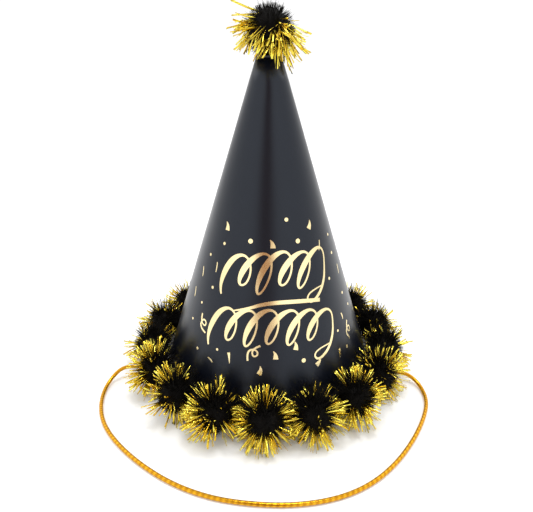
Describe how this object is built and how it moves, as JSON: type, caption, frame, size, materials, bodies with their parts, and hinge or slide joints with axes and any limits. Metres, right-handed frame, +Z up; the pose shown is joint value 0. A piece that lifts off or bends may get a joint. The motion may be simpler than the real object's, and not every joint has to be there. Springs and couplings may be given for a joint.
{
  "type": "party hat",
  "caption": "Cone party hat of black card with a rim of black and gold tinsel pompoms, one pompom on the tip, gold foil confetti and a round gold chin elastic.",
  "frame": {"origin": "centre of the card cone's rim, on the plane the hat stands on", "axes": "+Z up through the tip, printed face looks along -Y, +X to the viewer's right when looking at the printed face"},
  "size_m": [0.2033, 0.2133, 0.2232],
  "materials": {
    "card": "satin black coated card",
    "pompom_fibre": "dense cut black fibre, with gold tinsel strips among it",
    "tie_thread": "twisted black thread",
    "hot_glue": "black hot-melt glue",
    "gold_tinsel": "flat strips cut from gold metallised film",
    "gold_foil": "pale gold hot-stamped foil, a few microns thick, on the card",
    "gold_elastic": "elastic core wound with gold metallic yarn"
  },
  "bodies": {
    "hat": {"cone_card": "card", "seam_glue": "hot_glue", "pompom_01": "pompom_fibre", "pompom_02": "pompom_fibre", "pompom_03": "pompom_fibre", "pompom_04": "pompom_fibre", "pompom_05": "pompom_fibre", "pompom_06": "pompom_fibre", "pompom_07": "pompom_fibre", "pompom_08": "pompom_fibre", "pompom_09": "pompom_fibre", "pompom_10": "pompom_fibre", "pompom_11": "pompom_fibre", "pompom_12": "pompom_fibre", "pompom_13": "pompom_fibre", "pompom_14": "pompom_fibre", "pompom_15": "pompom_fibre", "pompom_16": "pompom_fibre", "pompom_17": "pompom_fibre", "pompom_ties": "tie_thread", "glue_dots": "hot_glue", "tip_pompom": "pompom_fibre", "tip_pompom_tie": "tie_thread", "tip_glue_plug": "hot_glue"},
    "elastic": {"chin_elastic": "gold_elastic", "elastic_knot_left": "gold_elastic", "elastic_knot_right": "gold_elastic"}
  },
  "joints": [
    {"name": "elastic_swing", "type": "hinge", "parent": "hat", "child": "elastic", "pos_m": [-0.06536, -0.01688, 0.005], "axis": [0.9997, -0.0244, 0], "range_deg": [-50, 140]}
  ]
}
